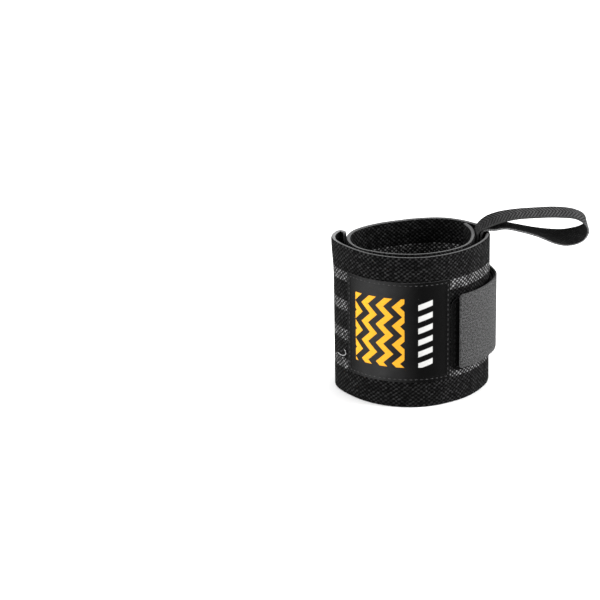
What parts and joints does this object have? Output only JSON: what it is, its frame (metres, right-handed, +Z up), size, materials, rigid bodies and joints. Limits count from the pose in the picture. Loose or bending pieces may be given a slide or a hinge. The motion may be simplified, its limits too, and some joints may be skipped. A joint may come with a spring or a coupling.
{
  "type": "wrist wrap",
  "caption": "Rolled elastic wrist wrap standing on its edge, with a thumb loop, a front label and a hook-and-loop strap round its outer end.",
  "frame": {"origin": "under the middle of the whole wrap's box, on the surface that the roll stands on", "axes": "+Z up along the roll, -Y towards the label at the front, +X towards the thumb loop's far end"},
  "size_m": [0.1322, 0.0804, 0.0911],
  "materials": {
    "band_elastic": "black woven elastic with four grey stripes",
    "tape_elastic": "dark grey braided elastic tape",
    "label_satin": "charcoal satin",
    "loop_pile": "black brushed loop pile",
    "strap_knit": "grey fine knit",
    "hook_face": "black hook tape"
  },
  "bodies": {
    "root": {"elastic_band": "band_elastic", "thumb_loop": "tape_elastic", "label": "label_satin", "loop_patch": "loop_pile", "hook_strap": "strap_knit", "hook_pad": "hook_face"}
  },
  "joints": []
}
